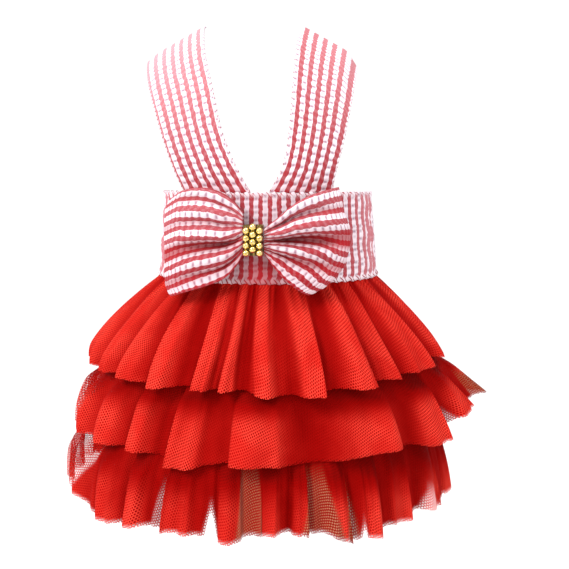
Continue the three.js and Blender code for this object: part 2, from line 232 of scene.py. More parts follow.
def surface(name, points, uv, coat, round_=False, thickness=0.0, **values):
    """Object from a grid of points (rows, columns, 3) and cloth places uv, both in millimetres.
    Where it is round the last column is welded to the first. With a thickness, the grid is laid
    half of it to either side along its normals and the rims are closed. Each value becomes a point attribute."""
    rows, columns = points.shape[:2]
    place = np.arange(rows * columns).reshape(rows, columns)
    faces = np.stack([place[:-1, :-1], place[:-1, 1:], place[1:, 1:], place[1:, :-1]], -1).reshape(-1, 4)
    layers = [points]
    if thickness:
        n = normals(points, round_)
        layers = [points + n * thickness / 2, points - n * thickness / 2]
        inner = place + rows * columns
        rims = [(place[0], inner[0]), (inner[-1], place[-1])]
        if not round_:
            rims += [(inner[:, 0], place[:, 0]), (place[:, -1], inner[:, -1])]
        rims = [np.stack([a[:-1], b[:-1], b[1:], a[1:]], -1) for a, b in rims]
        faces = np.concatenate([faces, faces[:, ::-1] + rows * columns, *rims])
    corners = faces.ravel()
    vertex = corners
    keep = np.arange(len(layers) * rows * columns)
    if round_:
        wall, rest = np.divmod(keep, rows * columns)
        line, column = np.divmod(rest, columns)
        keep = keep[column < columns - 1]
        weld = (wall * rows + line) * (columns - 1) + column % (columns - 1)
        vertex = weld[corners]
    co = np.concatenate([layer.reshape(-1, 3) for layer in layers])[keep] * MM
    mesh = bpy.data.meshes.new(name)
    mesh.vertices.add(len(co))
    mesh.vertices.foreach_set("co", co.ravel().astype(np.float32))
    mesh.loops.add(len(vertex))
    mesh.loops.foreach_set("vertex_index", vertex.astype(np.int32))
    mesh.polygons.add(len(faces))
    mesh.polygons.foreach_set("loop_start", np.arange(len(faces), dtype=np.int32) * 4)
    mesh.update(calc_edges=True)
    mesh.validate()
    spots = np.concatenate([uv.reshape(-1, 2)] * len(layers))[corners] * MM
    mesh.uv_layers.new(name="cloth").data.foreach_set("uv", spots.ravel().astype(np.float32))
    for key, value in values.items():
        flat = np.concatenate([np.broadcast_to(value, (rows, columns)).ravel()] * len(layers))[keep]
        mesh.attributes.new(key, "FLOAT", "POINT").data.foreach_set("value", flat.astype(np.float32))
    mesh.shade_smooth()
    mesh.materials.append(coat)
    piece = bpy.data.objects.new(name, mesh)
    bpy.context.scene.collection.objects.link(piece)
    return piece


def ball(name, middle, radius, coat):
    """Round object about a middle, in millimetres: rings of points between two poles, with triangles at the poles."""
    rings, columns = 13, 24
    theta = TURN * np.arange(columns) / columns
    phi = (math.pi * np.arange(1, rings + 1) / (rings + 1))[:, None]
    flat = np.sin(phi)
    ring = np.stack([flat * np.cos(theta), flat * np.sin(theta), -np.cos(phi) + 0 * theta], -1).reshape(-1, 3)
    points = (np.concatenate([[[0, 0, -1]], ring, [[0, 0, 1]]]) * radius + middle) * MM
    place = 1 + np.arange(rings * columns).reshape(rings, columns)
    after = np.roll(place, -1, 1)
    top = len(points) - 1
    faces = np.stack([place[:-1], after[:-1], after[1:], place[1:]], -1).reshape(-1, 4).tolist()
    faces += [[0, int(b), int(a)] for a, b in zip(place[0], after[0])]
    faces += [[top, int(a), int(b)] for a, b in zip(place[-1], after[-1])]
    mesh = bpy.data.meshes.new(name)
    mesh.from_pydata(points.tolist(), [], faces)
    mesh.shade_smooth()
    mesh.materials.append(coat)
    piece = bpy.data.objects.new(name, mesh)
    bpy.context.scene.collection.objects.link(piece)
    return piece


def add(tree, kind, inputs, out=0, **settings):
    """One node with its settings and its inputs, which are sockets to link or values to set; gives its output."""
    node = tree.nodes.new(kind)
    for key, value in settings.items():
        setattr(node, key, value)
    for key, value in inputs.items():
        if isinstance(value, bpy.types.NodeSocket):
            tree.links.new(value, node.inputs[key])
        else:
            node.inputs[key].default_value = value
    return node.outputs[out]


def material(name):
    """New material without nodes but its output; gives it, its tree and the output's surface socket."""
    made = bpy.data.materials.new(name)
    made.use_nodes = True
    made.node_tree.nodes.clear()
    output = made.node_tree.nodes.new("ShaderNodeOutputMaterial")
    return made, made.node_tree, output.inputs["Surface"]


def net_waves(tree, place, cell, turn):
    """Sum of three cosines across the cloth, 60 degrees apart: up to 3 inside a hole of the net, -1.5 on the
    threads round it. The holes are longer than wide, as net is stretched when it hangs."""
    total = 0.0
    size = TURN / (cell * math.sqrt(3) / 2)
    for angle in (turn, turn + math.pi / 3, turn + 2 * math.pi / 3):
        across = (size * math.cos(angle), 0.72 * size * math.sin(angle), 0)
        along = add(tree, "ShaderNodeVectorMath", {0: place, 1: across}, out=1, operation="DOT_PRODUCT")
        wave = add(tree, "ShaderNodeMath", {0: along}, operation="COSINE")
        total = add(tree, "ShaderNodeMath", {0: total, 1: wave}, operation="ADD")
    return total


def tulle_material(look):
    """Nylon tulle, dyed in the piece: a fine net of thin threads. It looks like a soft red haze where layers lie
    close, with threads painted brighter on lit faces over a red ground painted deeper as shade. It is see-through only
    in the thin places and at the hems: elsewhere the sheet is opaque, and its holes are painted a darker colour, as
    shade of the net behind, and bump.
    The attribute fold carries painted light and shade: it is 1 where a fold faces out, painted lighter, 0 in its
    valley, painted darker, and less in the shade of the tier above. layers is 1 where the sheet is opaque and less
    where it is thin, and glimpse is 1 where the holes are painted as if shaded net showed behind them."""
    made, tree, output = material("nylon_tulle_red")
    smooth, tint = {"interpolation_type": "SMOOTHSTEP"}, {"data_type": "RGBA", "out": 2}
    place = add(tree, "ShaderNodeUVMap", {}, uv_map="cloth")
    layers = add(tree, "ShaderNodeAttribute", {}, out=2, attribute_name="layers")
    fold = add(tree, "ShaderNodeAttribute", {}, out=2, attribute_name="fold")
    glimpse = add(tree, "ShaderNodeAttribute", {}, out=2, attribute_name="glimpse")
    net = net_waves(tree, place, look.net_cell, 0.26)
    # A second net behind the first is a little wider and turned, so that the two make slow bands.
    behind = net_waves(tree, place, look.net_cell * 1.13, 0.47)
    hole = add(tree, "ShaderNodeMapRange", {0: net, 1: -0.95, 2: 0.5}, **smooth)
    hole_behind = add(tree, "ShaderNodeMapRange", {0: behind, 1: -0.9, 2: 0.6}, **smooth)
    thread = add(tree, "ShaderNodeMath", {0: 1.0, 1: hole}, operation="SUBTRACT")
    # Net is seen in patches some 26 mm across and more on the faces than in the valleys.
    patch = add(tree, "ShaderNodeTexNoise", {"Vector": place, "Scale": 1 / 0.026, "Detail": 2.0})
    patch = add(tree, "ShaderNodeMapRange", {0: patch, 1: 0.38, 2: 0.62, 3: 0.5, 4: 1.0}, **smooth)
    facing = add(tree, "ShaderNodeMapRange", {0: fold, 1: 0.1, 2: 0.8, 3: 0.35, 4: 1.0}, **smooth)
    shows = add(tree, "ShaderNodeMath", {0: patch, 1: facing}, operation="MULTIPLY")
    shows = add(tree, "ShaderNodeMath", {0: shows, 1: glimpse}, operation="MAXIMUM")
    # The dye looks a little uneven, in clouds some 11 mm across.
    cloud = add(tree, "ShaderNodeTexNoise", {"Vector": place, "Scale": 1 / 0.011, "Detail": 3.0})
    cloud = add(tree, "ShaderNodeMapRange", {0: cloud, 3: -0.175, 4: 0.175})
    # Painted light and shade: by fold and the dye's clouds the net is painted from the valley colour to the face
    # colour, and by fold below 0 towards the under colour, the painted shade of the tier above.
    lit = add(tree, "ShaderNodeMath", {0: fold, 1: cloud}, operation="ADD", use_clamp=True)
    shaded = add(tree, "ShaderNodeMapRange", {0: fold, 1: -0.3, 2: 0.0, 3: 1.0, 4: 0.0}, **smooth)
    haze = add(tree, "ShaderNodeMix", {0: lit, 6: look.valley, 7: look.face}, **tint)
    haze = add(tree, "ShaderNodeMix", {0: shaded, 6: haze, 7: look.under}, **tint)
    # Painted shade: where the net shows, its holes are painted in the valley colour, as shade of the net behind.
    deep = add(tree, "ShaderNodeMath", {0: hole, 1: hole_behind}, operation="ADD")
    deep = add(tree, "ShaderNodeMapRange", {0: deep, 1: 0.6, 2: 1.7}, **smooth)
    deep = add(tree, "ShaderNodeMath", {0: deep, 1: shows}, operation="MULTIPLY")
    colour = add(tree, "ShaderNodeMix", {0: deep, 6: haze, 7: look.valley}, **tint)
    # Painted light: where the net shows, its threads are painted brighter, up to the thread colour on lit faces.
    bright = add(tree, "ShaderNodeMath", {0: thread, 1: shows}, operation="MULTIPLY")
    bright = add(tree, "ShaderNodeMath", {0: bright, 1: 0.8}, operation="MULTIPLY")
    yarn = add(tree, "ShaderNodeMix", {0: lit, 6: look.face, 7: look.thread}, **tint)
    colour = add(tree, "ShaderNodeMix", {0: bright, 6: colour, 7: yarn}, **tint)
    # Painted shade: where glimpse is 1 the holes are painted in the window colour, as if shaded net lay behind.
    core = add(tree, "ShaderNodeMapRange", {0: net, 1: 0.0, 2: 1.6}, **smooth)
    through_net = add(tree, "ShaderNodeMix", {0: core, 6: look.valley, 7: look.window}, **tint)
    colour = add(tree, "ShaderNodeMix", {0: glimpse, 6: colour, 7: through_net}, **tint)
    thread_cover = add(tree, "ShaderNodeMapRange", {0: layers, 1: 0.0, 2: 0.45}, **smooth)
    hole_cover = add(tree, "ShaderNodeMapRange", {0: layers, 1: 0.15, 2: 1.0}, **smooth)
    cover = add(tree, "ShaderNodeMix", {0: hole, 2: thread_cover, 3: hole_cover})
    bump = add(tree, "ShaderNodeBump", {"Height": net, "Strength": 0.3, "Distance": 0.0003}, invert=True)
    shader = add(tree, "ShaderNodeBsdfPrincipled", {
        "Base Color": colour, "Alpha": cover, "Normal": bump, "Roughness": 0.75, "IOR": 1.53,
        "Specular IOR Level": 0.02,
    })
    tree.links.new(shader, output)
    return made


def seersucker_material(look):
    """Cotton seersucker, yarn dyed and slack woven: matt, with coloured flat stripes between white ones that
    pucker, so the white has small grey dimples, painted grey as shade in the pucker hollows, and the coloured edges
    wander. The red is painted paler along the pucker tops as a highlight. The attribute faded is how pale the colour
    is painted, which on the straps and bow loops is painted light, dimple 1 in a pucker's hollow, crown 1 along its
    top, shade 1 deep in a fold, where the colour is painted darker as shade, and hem 1 on an oversewn edge."""
    made, tree, output = material("cotton_seersucker")
    smooth, tint = {"interpolation_type": "SMOOTHSTEP"}, {"data_type": "RGBA", "out": 2}
    place = add(tree, "ShaderNodeUVMap", {}, uv_map="cloth")
    paleness, dimple, crown, shade, hem = (
        add(tree, "ShaderNodeAttribute", {}, out=2, attribute_name=name)
        for name in ("paleness", "dimple", "crown", "shade", "hem")
    )
    # Stripe edges wander by up to 0.8 mm over 3 mm.
    drift = add(tree, "ShaderNodeTexNoise", {"Vector": place, "Scale": 1 / 0.003, "Detail": 2.0})
    drift = add(tree, "ShaderNodeMapRange", {0: drift, 3: -0.0008 * TURN / look.stripe, 4: 0.0008 * TURN / look.stripe})
    across = add(
        tree, "ShaderNodeVectorMath", {0: place, 1: (TURN / look.stripe, 0, 0)}, out=1, operation="DOT_PRODUCT"
    )
    across = add(tree, "ShaderNodeMath", {0: across, 1: drift}, operation="ADD")
    wave = add(tree, "ShaderNodeMath", {0: across}, operation="COSINE")
    red = add(tree, "ShaderNodeMapRange", {0: wave, 1: -0.16, 2: 0.16}, **smooth)
    # White yarn crosses the red in specks of 0.7 mm.
    speck = add(tree, "ShaderNodeTexNoise", {"Vector": place, "Scale": 1 / 0.0007, "Detail": 1.0})
    speck = add(tree, "ShaderNodeMapRange", {0: speck, 1: 0.45, 2: 0.75, 3: 0.0, 4: 0.32}, **smooth)
    full = add(tree, "ShaderNodeMix", {0: speck, 6: look.red, 7: look.red_light}, **tint)
    pale = add(tree, "ShaderNodeMix", {0: speck, 6: look.red_pale, 7: look.white}, **tint)
    coloured = add(tree, "ShaderNodeMix", {0: paleness, 6: full, 7: pale}, **tint)
    # Painted highlight: along the pucker tops the red is painted towards white.
    crown_highlight = add(tree, "ShaderNodeMapRange", {0: crown, 1: 0.3, 2: 1.0, 3: 0.0, 4: 0.09}, **smooth)
    coloured = add(tree, "ShaderNodeMix", {0: crown_highlight, 6: coloured, 7: look.white}, **tint)
    # Painted shade: in the pucker hollows the white is painted towards the grey dimple colour.
    hollow = add(tree, "ShaderNodeMath", {0: dimple, 1: 0.85}, operation="MULTIPLY")
    white = add(tree, "ShaderNodeMix", {0: hollow, 6: look.white, 7: look.dimple}, **tint)
    colour = add(tree, "ShaderNodeMix", {0: red, 6: white, 7: coloured}, **tint)
    # On the edges the sewing thread goes over twice in each stripe, at a slant.
    twist = add(
        tree, "ShaderNodeVectorMath", {0: place, 1: (2 * TURN / look.stripe, 2 * TURN / look.stripe, 0)},
        out=1, operation="DOT_PRODUCT",
    )
    twist = add(tree, "ShaderNodeMath", {0: twist}, operation="COSINE")
    twist = add(tree, "ShaderNodeMapRange", {0: twist, 1: 0.5, 2: 0.95}, **smooth)
    sewn = add(tree, "ShaderNodeMix", {0: twist, 6: look.white, 7: look.stitch}, **tint)
    colour = add(tree, "ShaderNodeMix", {0: hem, 6: colour, 7: sewn}, **tint)
    # Painted shade: deep in folds and creases the colour is painted towards the dark red hollow colour.
    crease_shade = add(tree, "ShaderNodeMix", {0: 0.8, 6: colour, 7: look.hollow}, **tint)
    colour = add(tree, "ShaderNodeMix", {0: shade, 6: colour, 7: crease_shade}, **tint)
    # Single yarns are 0.45 mm apart.
    weft = add(tree, "ShaderNodeTexNoise", {"Vector": place, "Scale": 1 / 0.00045, "Detail": 0.0})
    bump = add(tree, "ShaderNodeBump", {"Height": weft, "Strength": 0.25, "Distance": 0.0003})
    shader = add(tree, "ShaderNodeBsdfPrincipled", {
        "Base Color": colour, "Normal": bump, "Roughness": 0.88, "IOR": 1.47, "Specular IOR Level": 0.1,
        "Sheen Weight": 0.03, "Sheen Roughness": 0.6,
    })
    tree.links.new(shader, output)
    return made


def cotton(look):
    """The striped cotton of this scene, made once for all its pieces."""
    return bpy.data.materials.get("cotton_seersucker") or seersucker_material(look)


def gold_material(look):
    """Gold-plated glass seed beads, tumbled: a mirror finish, a pale yellow metal with tiny dents 1.1 mm apart."""
    made, tree, output = material("gold_plated_bead")
    place = add(tree, "ShaderNodeTexCoord", {}, out=3)
    dents = add(tree, "ShaderNodeTexNoise", {"Vector": place, "Scale": 1 / 0.0011, "Detail": 1.0})
    bump = add(tree, "ShaderNodeBump", {"Height": dents, "Strength": 0.12, "Distance": 0.0002})
    dented = add(tree, "ShaderNodeMapRange", {0: dents, 1: 0.4, 2: 0.7}, interpolation_type="SMOOTHSTEP")
    tone = add(tree, "ShaderNodeMix", {0: dented, 6: look.gold, 7: look.gold_deep}, out=2, data_type="RGBA")
    shader = add(tree, "ShaderNodeBsdfPrincipled", {
        "Base Color": tone, "Metallic": 1.0, "Roughness": 0.14, "Normal": bump,
    })
    tree.links.new(shader, output)
    return made


def braid_material(look):
    """Bronze braid of flat metallic yarn woven upright, 0.9 mm from yarn to yarn: dull gold lines with near
    black gaps between them."""
    made, tree, output = material("metallic_braid_bronze")
    place = add(tree, "ShaderNodeUVMap", {}, uv_map="cloth")
    across = add(tree, "ShaderNodeVectorMath", {0: place, 1: (TURN / 0.0009, 0, 0)}, out=1, operation="DOT_PRODUCT")
    yarn = add(tree, "ShaderNodeMath", {0: across}, operation="COSINE")
    yarn = add(tree, "ShaderNodeMapRange", {0: yarn, 1: -0.6, 2: 0.8}, interpolation_type="SMOOTHSTEP")
    tone = add(tree, "ShaderNodeMix", {0: yarn, 6: look.braid_gap, 7: look.braid}, out=2, data_type="RGBA")
    bump = add(tree, "ShaderNodeBump", {"Height": yarn, "Strength": 0.6, "Distance": 0.0003})
    shader = add(tree, "ShaderNodeBsdfPrincipled", {
        "Base Color": tone, "Metallic": 0.7, "Roughness": 0.42, "Normal": bump,
    })
    tree.links.new(shader, output)
    return made


def floor_material(look):
    """White paper sweep, matt: no gloss, so it shows only the soft light."""
    made, tree, output = material("white_paper_floor")
    shader = add(tree, "ShaderNodeBsdfPrincipled", {"Base Color": look.floor, "Roughness": 0.9})
    tree.links.new(shader, output)
    return made


def valley_reach(tier, order, east, south, share):
    """How far out from the waist the valleys of a tier lie at a share of the way down it, and how far the net
    fills them. They lie out by its flare to that side times 1 - (1 - share)^bulge, with the bulge larger by
    puff * east^2 on the left and 0.45 of that on the right, less a step for each tier outside it. The fill is
    pleat * share^0.8 * (1 - depth)."""
    sides = np.where(east < 0, tier["left"], tier["right"]) * east**2 + tier["front"] * south**2
    gap = mix(WAIST_STEP, TIER_STEP, np.minimum(1, share / 0.125))
    filled = tier["pleat"] * np.clip(share, 0, 1) ** 0.8 * (1 - tier["depth"])
    bulge = tier["bulge"] + tier["puff"] * np.where(east < 0, 1, 0.45) * east**2
    return tier["flare"] * sides * (1 - np.maximum(0, 1 - share) ** bulge) - gap * order, filled


def tier_grid(order):
    """Points, cloth places and point values of one net tier. Columns run by fold number q, rows from hem to waist.
    The crest is tanh(bend * (cos(2 pi q) + broad)) brought to between 0 to 0.25 in a valley and 1 on a face, so both
    are flat and a fold's sides steep. It stands out by pleat * share^0.8 * (1 - depth + 0.94 * depth * deep * crest),
    softly held within the room under the tier outside it. sin(4 pi q) slides the cloth sideways to make the sides
    upright, and each fold leans over by 1.7 * lean * crest * share^0.7. Slower and quicker sines of q make the folds
    uneven, and on the top tier small gathers ride on them near the waist. A bell curve flicks one corner of the
    middle tier out and up, the left hem curls in by the cube of east, and the rim at the waist is tucked under the
    band. The cloth is laid out across by the arc length of the row two thirds of the way down."""
    tier = TIERS[order]
    at, deep, lean, broad = np.array(tier["folds"], float).T
    count = len(at)
    q, share = grid(46 * count, 52)
    q, share = q * count, 1 - share
    share = mix(share, share**1.3, 0.6)
    near = np.floor(q).astype(int) % count
    part = q - np.floor(q)
    change = step(0.25, 0.75, part)
    spots = np.append(at, at[0] + 1000) / 1000
    u = np.interp(q, np.arange(count + 1), spots)
    room_round = np.diff(spots)[near] * 640
    deep, lean, broad = (mix(row[near], row[(near + 1) % count], change) for row in (deep, lean, broad))
    angle = TURN * u
    east, south = np.sin(angle), np.cos(angle)
    lift = np.where(east < 0, tier["lift_left"], tier["lift_right"]) * east**2
    ragged = 0.006 * np.sin(TURN * q * 1.0 + 3 * scatter(near, 3)) + 0.006 * np.sin(TURN * q * 0.6 + 2 * order)
    depth = share * tier["drop"] * (1 + (waves(HEM_WAVE, u, tier["turn"]) + ragged) * share - lift)
    valley, filled = valley_reach(tier, order, east, south, share)
    bend = mix(0.45 + 1.2 * scatter(near, 11), 0.45 + 1.2 * scatter((near + 1) % count, 11), change)
    wave = np.tanh(bend * (np.cos(TURN * q) + broad))
    low, high = np.tanh(bend * (broad - 1)), np.tanh(bend * (broad + 1))
    crest = (wave - low) / (high - low)
    crest = mix(0.25 * scatter(near, 7), 1, crest)
    uneven = (
        0.09 * np.sin(TURN * 1.37 * q + 1 + 2 * np.sin(2 * share + q)) + 0.06 * np.sin(TURN * 2.7 * q + 2 + 3 * share)
        + 0.035 * np.sin(TURN * 5.3 * q + 4 * np.sin(1.3 * q) + 2 * share)
    )
    slow = 0.07 * np.sin(TURN * 0.37 * q + 1 + 2 * order)
    face = tier["depth"] * crest * deep * 0.94 + (1 - tier["depth"]) + uneven * mix(0.5, 1, share) + slow
    stand = mix(0.15, tier["pleat"], share**0.8) * np.maximum(0, face)
    grown = np.ones_like(share)
    if order:
        above = depth / TIERS[order - 1]["drop"]
        outer, outer_filled = valley_reach(TIERS[order - 1], order - 1, east, south, above)
        room = outer + outer_filled - valley - 2.2
        most = np.maximum(0, room) + 0.9 * np.log1p(np.exp((above - 1.02) * 22)) / 22 * tier["drop"]
        soft = 2.0
        stand = -soft * np.log(np.exp(-stand / soft) + np.exp(-most / soft))
        stand = np.maximum(0, stand)
        grown = np.clip(most / tier["pleat"], 0, 1)
    pinches = np.sin(TURN * 3 * q + 1.6 * np.sin(TURN * 1.3 * q) + 3 * share)
    gather = 0.7 * pinches * np.exp(-((share / 0.3) ** 2)) * np.minimum(1, share / 0.03)
    flick = np.exp(-(((u - FLICK_PLACE) / FLICK_WIDTH) ** 2)) * share**2.2 if order == 1 else 0 * share
    out = valley + stand + gather * (order == 0) + FLICK_REACH * flick
    out = out - 4 * step(0.8, 1.1, share) * np.maximum(0, -east) ** 3
    tuck = step(0.03, 0, share)
    out = mix(out, 0.3 - 0.2 * order, tuck)
    width = (WAIST_HALF_WIDTH + out), (WAIST_HALF_DEPTH + out)
    tangent = np.stack([width[0] * south, width[1] * east], -1)
    tangent /= np.linalg.norm(tangent, axis=2, keepdims=True)
    upright = room_round / (2 * TURN) * np.sin(2 * TURN * q) * share**0.5
    stray = 2.4 * np.sin(TURN * 0.31 * q + 2.5 * share + order) * share
    slide = (1.7 * lean * crest * share**0.7 + 0.75 * upright) * grown + stray
    points = np.stack([
        width[0] * east + slide * tangent[..., 0],
        -width[1] * south + slide * tangent[..., 1],
        -BAND_HEIGHT / 2 - JOIN_GAP - 0.5 - depth + FLICK_REACH * flick + 3 * tuck,
    ], -1)
    layers, glimpse = np.ones_like(share), np.zeros_like(share)
    for place, upper, lower, start, left in tier["thin"]:
        spread = mix(upper, lower, np.clip((share - start) / (1 - start), 0, 1))
        window = step(1.5, -1.5, np.abs(u * 1000 - place) - spread) * step(start - 0.06, start + 0.06, share)
        if left:
            window = window * mix(0.6, 1, crest)
        layers = np.minimum(layers, 1 - (1 - left) * window)
        glimpse = np.maximum(glimpse, window * (left > 0.7))
    hem = tier["drop"] * (1 - share)
    layers = np.minimum(layers, mix(0.35, 1, step(0.1, 0.8, hem)))
    along = np.cumsum(np.linalg.norm(np.diff(points[16], axis=0, prepend=points[16, :1]), axis=1))
    cloth = np.stack([along / along[-1] * tier["hem"] * np.ones_like(share), tier["drop"] * share], -1)
    # Painted light and shade for the net's colour: fold is higher on faces and lower in valleys, by each fold's depth,
    # its unevenness and the waist gathers. It is painted lower near the waist, below 0 in the shade of the tier above
    # and, on the lower tiers, towards the front and back, and painted higher on the left side.
    fold = (0.75 * crest + 0.25 * crest**2) * mix(0.6, 1, np.minimum(1, deep)) + 1.1 * uneven * share
    fold = np.maximum(0, fold) * mix(0.72, 1, step(0.0, 0.3, share)) + 0.12 * pinches * np.exp(-((share / 0.3) ** 2))
    if order:
        fold = fold * mix(-0.6, 1, step(0.97, 1.36, above)) * mix(0.75, 1, np.minimum(1, 0.4 + np.abs(east)))
    return points, cloth, dict(
        layers=layers, glimpse=glimpse, fold=fold + 0.3 * step(-0.35, -0.9, east) * (1 - fold)
    )


def pucker(x, y, stripe, phase=0.0):
    """Height and sideways drift of the puckers on the white stripes, then a value that is 1 in their hollows and one
    that is 1 on their tops. Each white stripe has its own row of small humps, a cosine along it that fades to
    nothing on the coloured stripes."""
    s = x / stripe
    n = np.floor(s)
    shift = 0.17 * n + 0.22 * scatter(n, 1 + phase) + 0.12 * np.sin(y / 9 + 6 * scatter(n, 2 + phase))
    row = TURN * (y / PUCKER_PITCH + shift)
    white = np.maximum(0, -np.cos(TURN * s)) ** 0.45
    height = PUCKER_HEIGHT * np.cos(row) * white
    drift = 0.14 * np.sin(row + 2) + 0.1 * np.sin(y / 1.7 + 9 * scatter(n, 3))
    return height, drift, np.clip(-height / PUCKER_HEIGHT, 0, 1), 0.5 + 0.5 * np.cos(row)


def band_grid(stripe):
    """Points, cloth places and values of the chest band: an oval ring that widens to the waist. Towards the sides
    and back it is gathered by a cosine round the ring, and both edges are rolled and scalloped at each stripe.
    The cloth lies across by arc length, times 0.9 or a little more at the sides and 1.3 at the gathered back."""
    u, v = grid(760, 34)
    angle = TURN * u
    behind = (1 - np.cos(angle)) / 2
    gathered = np.clip(behind / 0.2 - 0.8, 0, 1)
    height = mix(-BAND_HEIGHT / 2, BAND_HEIGHT / 2 - BAND_BACK_DIP * ((1 - np.cos(angle)) / 2) ** 2, v)
    half_width = mix(WAIST_HALF_WIDTH, CHEST_HALF_WIDTH, v)
    half_depth = mix(WAIST_HALF_DEPTH, CHEST_HALF_DEPTH, v)
    across = np.hypot(np.diff(half_width[0] * np.sin(angle[0])), np.diff(half_depth[0] * np.cos(angle[0])))
    closer = 1 - 0.15 * np.sin(angle[0, 1:]) ** 2 + 0.3 * behind[0, 1:] ** 2
    along = np.concatenate([[0], np.cumsum(across * closer)])
    count = round(along[-1] / stripe)
    x = along / along[-1] * count * stripe * np.ones_like(v)
    y = BAND_HEIGHT * v
    hump, drift, dimple, crown = pucker(x, y, stripe)
    ruche = RUCHE_DEPTH * gathered * np.cos(TURN * RUCHE_COUNT * u) * np.sin(math.pi * mix(0.12, 0.88, v))
    edge = step(0.07, 0.0, v) + 0.8 * step(0.94, 1.0, v)
    scallop = np.cos(TURN * x / stripe)
    out = ruche + hump + 1.0 * edge * (0.8 - 0.5 * scallop)
    height = height - 0.5 * step(0.1, 0.0, v) * scallop + 0.5 * step(0.93, 1.0, v) * (1 - scallop)
    points = np.stack([(half_width + out) * np.sin(angle), -(half_depth + out) * np.cos(angle), height], -1)
    wander = 0.9 * np.sin(y / 3.2 + 0.45 * x / stripe + 2 * np.sin(x / 40)) * gathered
    cloth = np.stack([x + drift + wander + 2.2 * step(0.13, 0.0, v) ** 2, y], -1)
    # The colour is paler where the band is gathered, towards the sides and back.
    paleness = 0.12 + 0.45 * gathered * np.ones_like(v)
    under_bow = np.exp(-((u - np.round(u)) / 0.045) ** 2)
    shade = under_bow * (0.2 + 0.8 * step(0.55, 0.15, v)) + 0.15 * step(0.05, 0.0, v)
    hem = 0.95 * step(0.045, 0.03, v) + 0.8 * step(0.965, 0.98, v)
    return points, cloth, dict(dimple=dimple, crown=crown, paleness=paleness, shade=np.clip(shade, 0, 1), hem=hem)


def strap_grid(strap, stripe):
    """Points, cloth places and values of one strap: its edges are read from its two tables at sin(pi v), and it
    climbs as sin(pi v) from the front of the band over the shoulder fold and down to the back. Behind, it is moved
    and narrowed by powers of -cos(pi v)."""
    u, v = grid(84, 430)
    across = u if strap["side"] > 0 else 1 - u
    turn = math.pi * v
    height = np.sin(turn)
    behind = np.maximum(0, -np.cos(turn))
    share = mix(through(strap["inner"], height), through(strap["outer"], height), across)
    x = (CHEST_HALF_WIDTH + strap["lean"]) * share + strap["back"] * behind**0.55 - 3 * across * behind
    depth = CHEST_HALF_DEPTH * np.sqrt(np.maximum(0, 1 - (x / CHEST_HALF_WIDTH) ** 2 * (1 - height)))
    y = -depth * np.cos(turn)
    rise = mix(STRAP_INNER_RISE, STRAP_OUTER_RISE, across) - strap["corner"] * step(0.72, 1.02, across) ** 1.5
    top = BAND_HEIGHT / 2 - BAND_BACK_DIP * ((1 + y / CHEST_HALF_DEPTH) / 2) ** 2
    points = np.stack([strap["side"] * x, y, top + JOIN_GAP + STRAP_THICKNESS / 5 + rise * height], -1)
    w, run = across * strap["cloth"], v * STRAP_LENGTH
    hump, drift, dimple, crown = pucker(w + strap["phase"] * stripe, run, stripe, strap["side"])
    points = points + normals(points, False) * hump[..., None]
    # Painted light: the strap is painted paler towards its top, more on its outer side, and by its own amount more or
    # less.
    paleness = np.clip(0.1 + 0.65 * height**1.5 * (0.75 + 0.35 * across) + strap["light_paleness"] * height, 0, 1)
    cloth = np.stack([w + strap["phase"] * stripe + drift, run], -1)
    hem = 0.75 * step(0.022, 0.012, np.minimum(u, 1 - u)) * step(1.0, 0.6, height)
    return points, cloth, dict(dimple=dimple, crown=crown, paleness=paleness, shade=0.3 * step(0.16, 0.0, height), hem=hem)


def loop_grid(loop, stripe):
    """Points, cloth places and values of one bow loop: from the knot along the front, round the outer fold and
    back behind. Its edges and reach are read from its tables, and each crease is a bell curve across the cloth
    that starts at the knot and spreads towards the fold."""
    u, v = grid(200, 110)
    front_first = u if loop["side"] > 0 else 1 - u
    turn = math.pi * front_first
    away = np.sin(turn) ** 1.1
    front = np.cos(turn)
    x = KNOT_WIDTH / 2 + JOIN_GAP + LOOP_THICKNESS / 4 + LOOP_LENGTH * through(loop["reach"], v) * away
    z = LOOP_HALF_HEIGHT * mix(through(loop["bottom"], away), through(loop["top"], away), v)
    puff = mix(LOOP_KNOT_PUFF, LOOP_PUFF, np.sin(math.pi * np.minimum(1, away * 0.62)))
    belly = mix(0.75, 1, np.sin(math.pi * v))
    creases, shade = 0, 0
    for start, end, deep, width in loop["creases"]:
        bell = np.exp(-(((v - mix(start, end, away)) / (width * mix(0.7, 1.3, away))) ** 2))
        creases = creases + deep * bell
        shade = shade + max(0, -deep) / 5.5 * bell * mix(1, 0.8, away)
    folds = np.maximum(0, front) ** 0.6 * creases * np.clip(away * 4, 0, 1) * mix(1, 0.3, step(0.6, 1, away))
    sweep = LOOP_BACK_SWEEP * (x / LOOP_LENGTH) ** 2
    tip = LOOP_TIP_LIFT * away * (1 - v) ** 2
    y = -puff * front * belly - folds + sweep - tip
    points = np.stack([loop["side"] * x, y, z], -1) + np.array(BOW_PLACE)
    across = np.cumsum(np.linalg.norm(np.diff(points, axis=0, prepend=points[:1]), axis=2), axis=0)
    w, run = across / across[-1] * LOOP_CLOTH_WIDTH, front_first * LOOP_CLOTH_LENGTH
    hump, drift, dimple, crown = pucker(w, run, stripe, loop["side"] + 4)
    points = points + normals(points, False) * (hump * np.clip(away * 2, 0, 1))[..., None]
    cloth = np.stack([w + drift, run], -1)
    # Painted light: the loop is painted paler towards its top, the left loop a little more.
    paleness = np.clip(0.02 + 0.22 * v + (0.06 if loop["side"] < 0 else 0), 0, 1) * np.ones_like(u)
    shade = shade + 0.3 * step(0.4, 0.0, away) + 0.3 * step(0.5, 0.1, v)
    shade = np.clip(np.where(front > 0, shade, 0.6), 0, 1)
    return points, cloth, dict(dimple=dimple, crown=crown, paleness=paleness, shade=shade, hem=np.zeros_like(u))


